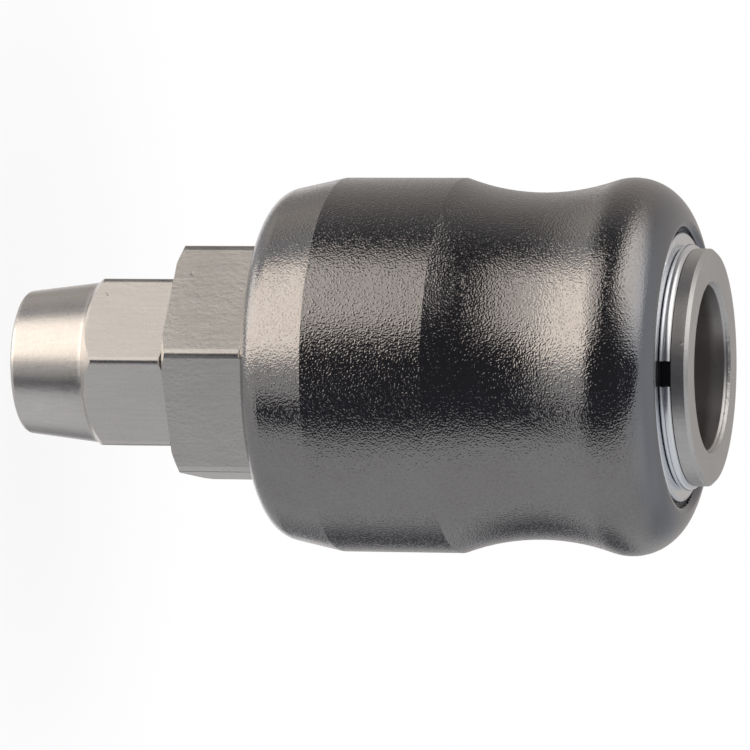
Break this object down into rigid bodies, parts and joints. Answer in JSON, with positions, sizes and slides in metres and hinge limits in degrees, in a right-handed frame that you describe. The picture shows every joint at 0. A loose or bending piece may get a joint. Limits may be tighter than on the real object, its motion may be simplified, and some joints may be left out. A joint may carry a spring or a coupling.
{
  "type": "air quick coupler",
  "caption": "Air quick coupler socket with a black sliding sleeve over a nickel-plated body, ball lock, sprung check valve and a hexagon hose adapter with a clamp nut.",
  "frame": {"origin": "centre of the hose nut's end face, on which the coupler stands", "axes": "+Z along the coupler's axis from the hose end to the plug end; -Y faces the picture's camera"},
  "size_m": [0.0316, 0.0316, 0.0593],
  "materials": {
    "nickel_body": "satin nickel plate over turned steel, faint turning rings and handling marks",
    "nickel_nut": "satin nickel plate over turned steel, slightly pinkish",
    "black_sleeve": "glossy black nickel plate over a coarse shot-blasted surface",
    "bright_ring": "bright zinc plate",
    "ball_steel": "polished bearing steel",
    "spring_wire": "drawn spring wire",
    "valve_brass": "plain turned brass",
    "seal_rubber": "moulded nitrile rubber"
  },
  "bodies": {
    "root": {"hose_adapter": "nickel_body", "body_seal": "seal_rubber", "socket_body": "nickel_body", "plug_seal": "seal_rubber", "stop_ring": "bright_ring", "snap_ring": "bright_ring"},
    "nut": {"hose_nut": "nickel_nut"},
    "valve": {"valve": "valve_brass", "valve_seal": "seal_rubber", "valve_spring": "spring_wire"},
    "spring_carriage": {"sleeve_spring": "spring_wire"},
    "sleeve": {"sleeve": "black_sleeve"},
    "ball_1": {"ball_1": "ball_steel"},
    "ball_2": {"ball_2": "ball_steel"},
    "ball_3": {"ball_3": "ball_steel"},
    "ball_4": {"ball_4": "ball_steel"},
    "ball_5": {"ball_5": "ball_steel"},
    "ball_6": {"ball_6": "ball_steel"},
    "ball_7": {"ball_7": "ball_steel"},
    "ball_8": {"ball_8": "ball_steel"}
  },
  "joints": [
    {"name": "sleeve_slide", "type": "slide", "parent": "root", "child": "spring_carriage", "axis": [0, 0, -1], "range_m": [0, 0.0045], "stiffness_N_per_m": 2500, "springref_m": -0.001, "deforming": ["sleeve_spring"]},
    {"name": "sleeve_spin", "type": "hinge", "parent": "spring_carriage", "child": "sleeve", "pos_m": [0, 0, 0.04], "axis": [0, 0, 1], "continuous": true},
    {"name": "valve_slide", "type": "slide", "parent": "root", "child": "valve", "axis": [0, 0, -1], "range_m": [0, 0.004], "stiffness_N_per_m": 400, "deforming": ["valve_spring"]},
    {"name": "nut_slide", "type": "slide", "parent": "root", "child": "nut", "axis": [0, 0, -1], "range_m": [0, 0.0045]},
    {"name": "ball_1_slide", "type": "slide", "parent": "root", "child": "ball_1", "axis": [0.9239, 0.3827, 0], "range_m": [0, 0.0009]},
    {"name": "ball_2_slide", "type": "slide", "parent": "root", "child": "ball_2", "axis": [0.3827, 0.9239, 0], "range_m": [0, 0.0009]},
    {"name": "ball_3_slide", "type": "slide", "parent": "root", "child": "ball_3", "axis": [-0.3827, 0.9239, 0], "range_m": [0, 0.0009]},
    {"name": "ball_4_slide", "type": "slide", "parent": "root", "child": "ball_4", "axis": [-0.9239, 0.3827, 0], "range_m": [0, 0.0009]},
    {"name": "ball_5_slide", "type": "slide", "parent": "root", "child": "ball_5", "axis": [-0.9239, -0.3827, 0], "range_m": [0, 0.0009]},
    {"name": "ball_6_slide", "type": "slide", "parent": "root", "child": "ball_6", "axis": [-0.3827, -0.9239, 0], "range_m": [0, 0.0009]},
    {"name": "ball_7_slide", "type": "slide", "parent": "root", "child": "ball_7", "axis": [0.3827, -0.9239, 0], "range_m": [0, 0.0009]},
    {"name": "ball_8_slide", "type": "slide", "parent": "root", "child": "ball_8", "axis": [0.9239, -0.3827, 0], "range_m": [0, 0.0009]}
  ],
  "couplings": [
    {"joint": "ball_1_slide", "follows": "sleeve_slide", "ratio": 0.2},
    {"joint": "ball_2_slide", "follows": "sleeve_slide", "ratio": 0.2},
    {"joint": "ball_3_slide", "follows": "sleeve_slide", "ratio": 0.2},
    {"joint": "ball_4_slide", "follows": "sleeve_slide", "ratio": 0.2},
    {"joint": "ball_5_slide", "follows": "sleeve_slide", "ratio": 0.2},
    {"joint": "ball_6_slide", "follows": "sleeve_slide", "ratio": 0.2},
    {"joint": "ball_7_slide", "follows": "sleeve_slide", "ratio": 0.2},
    {"joint": "ball_8_slide", "follows": "sleeve_slide", "ratio": 0.2}
  ]
}
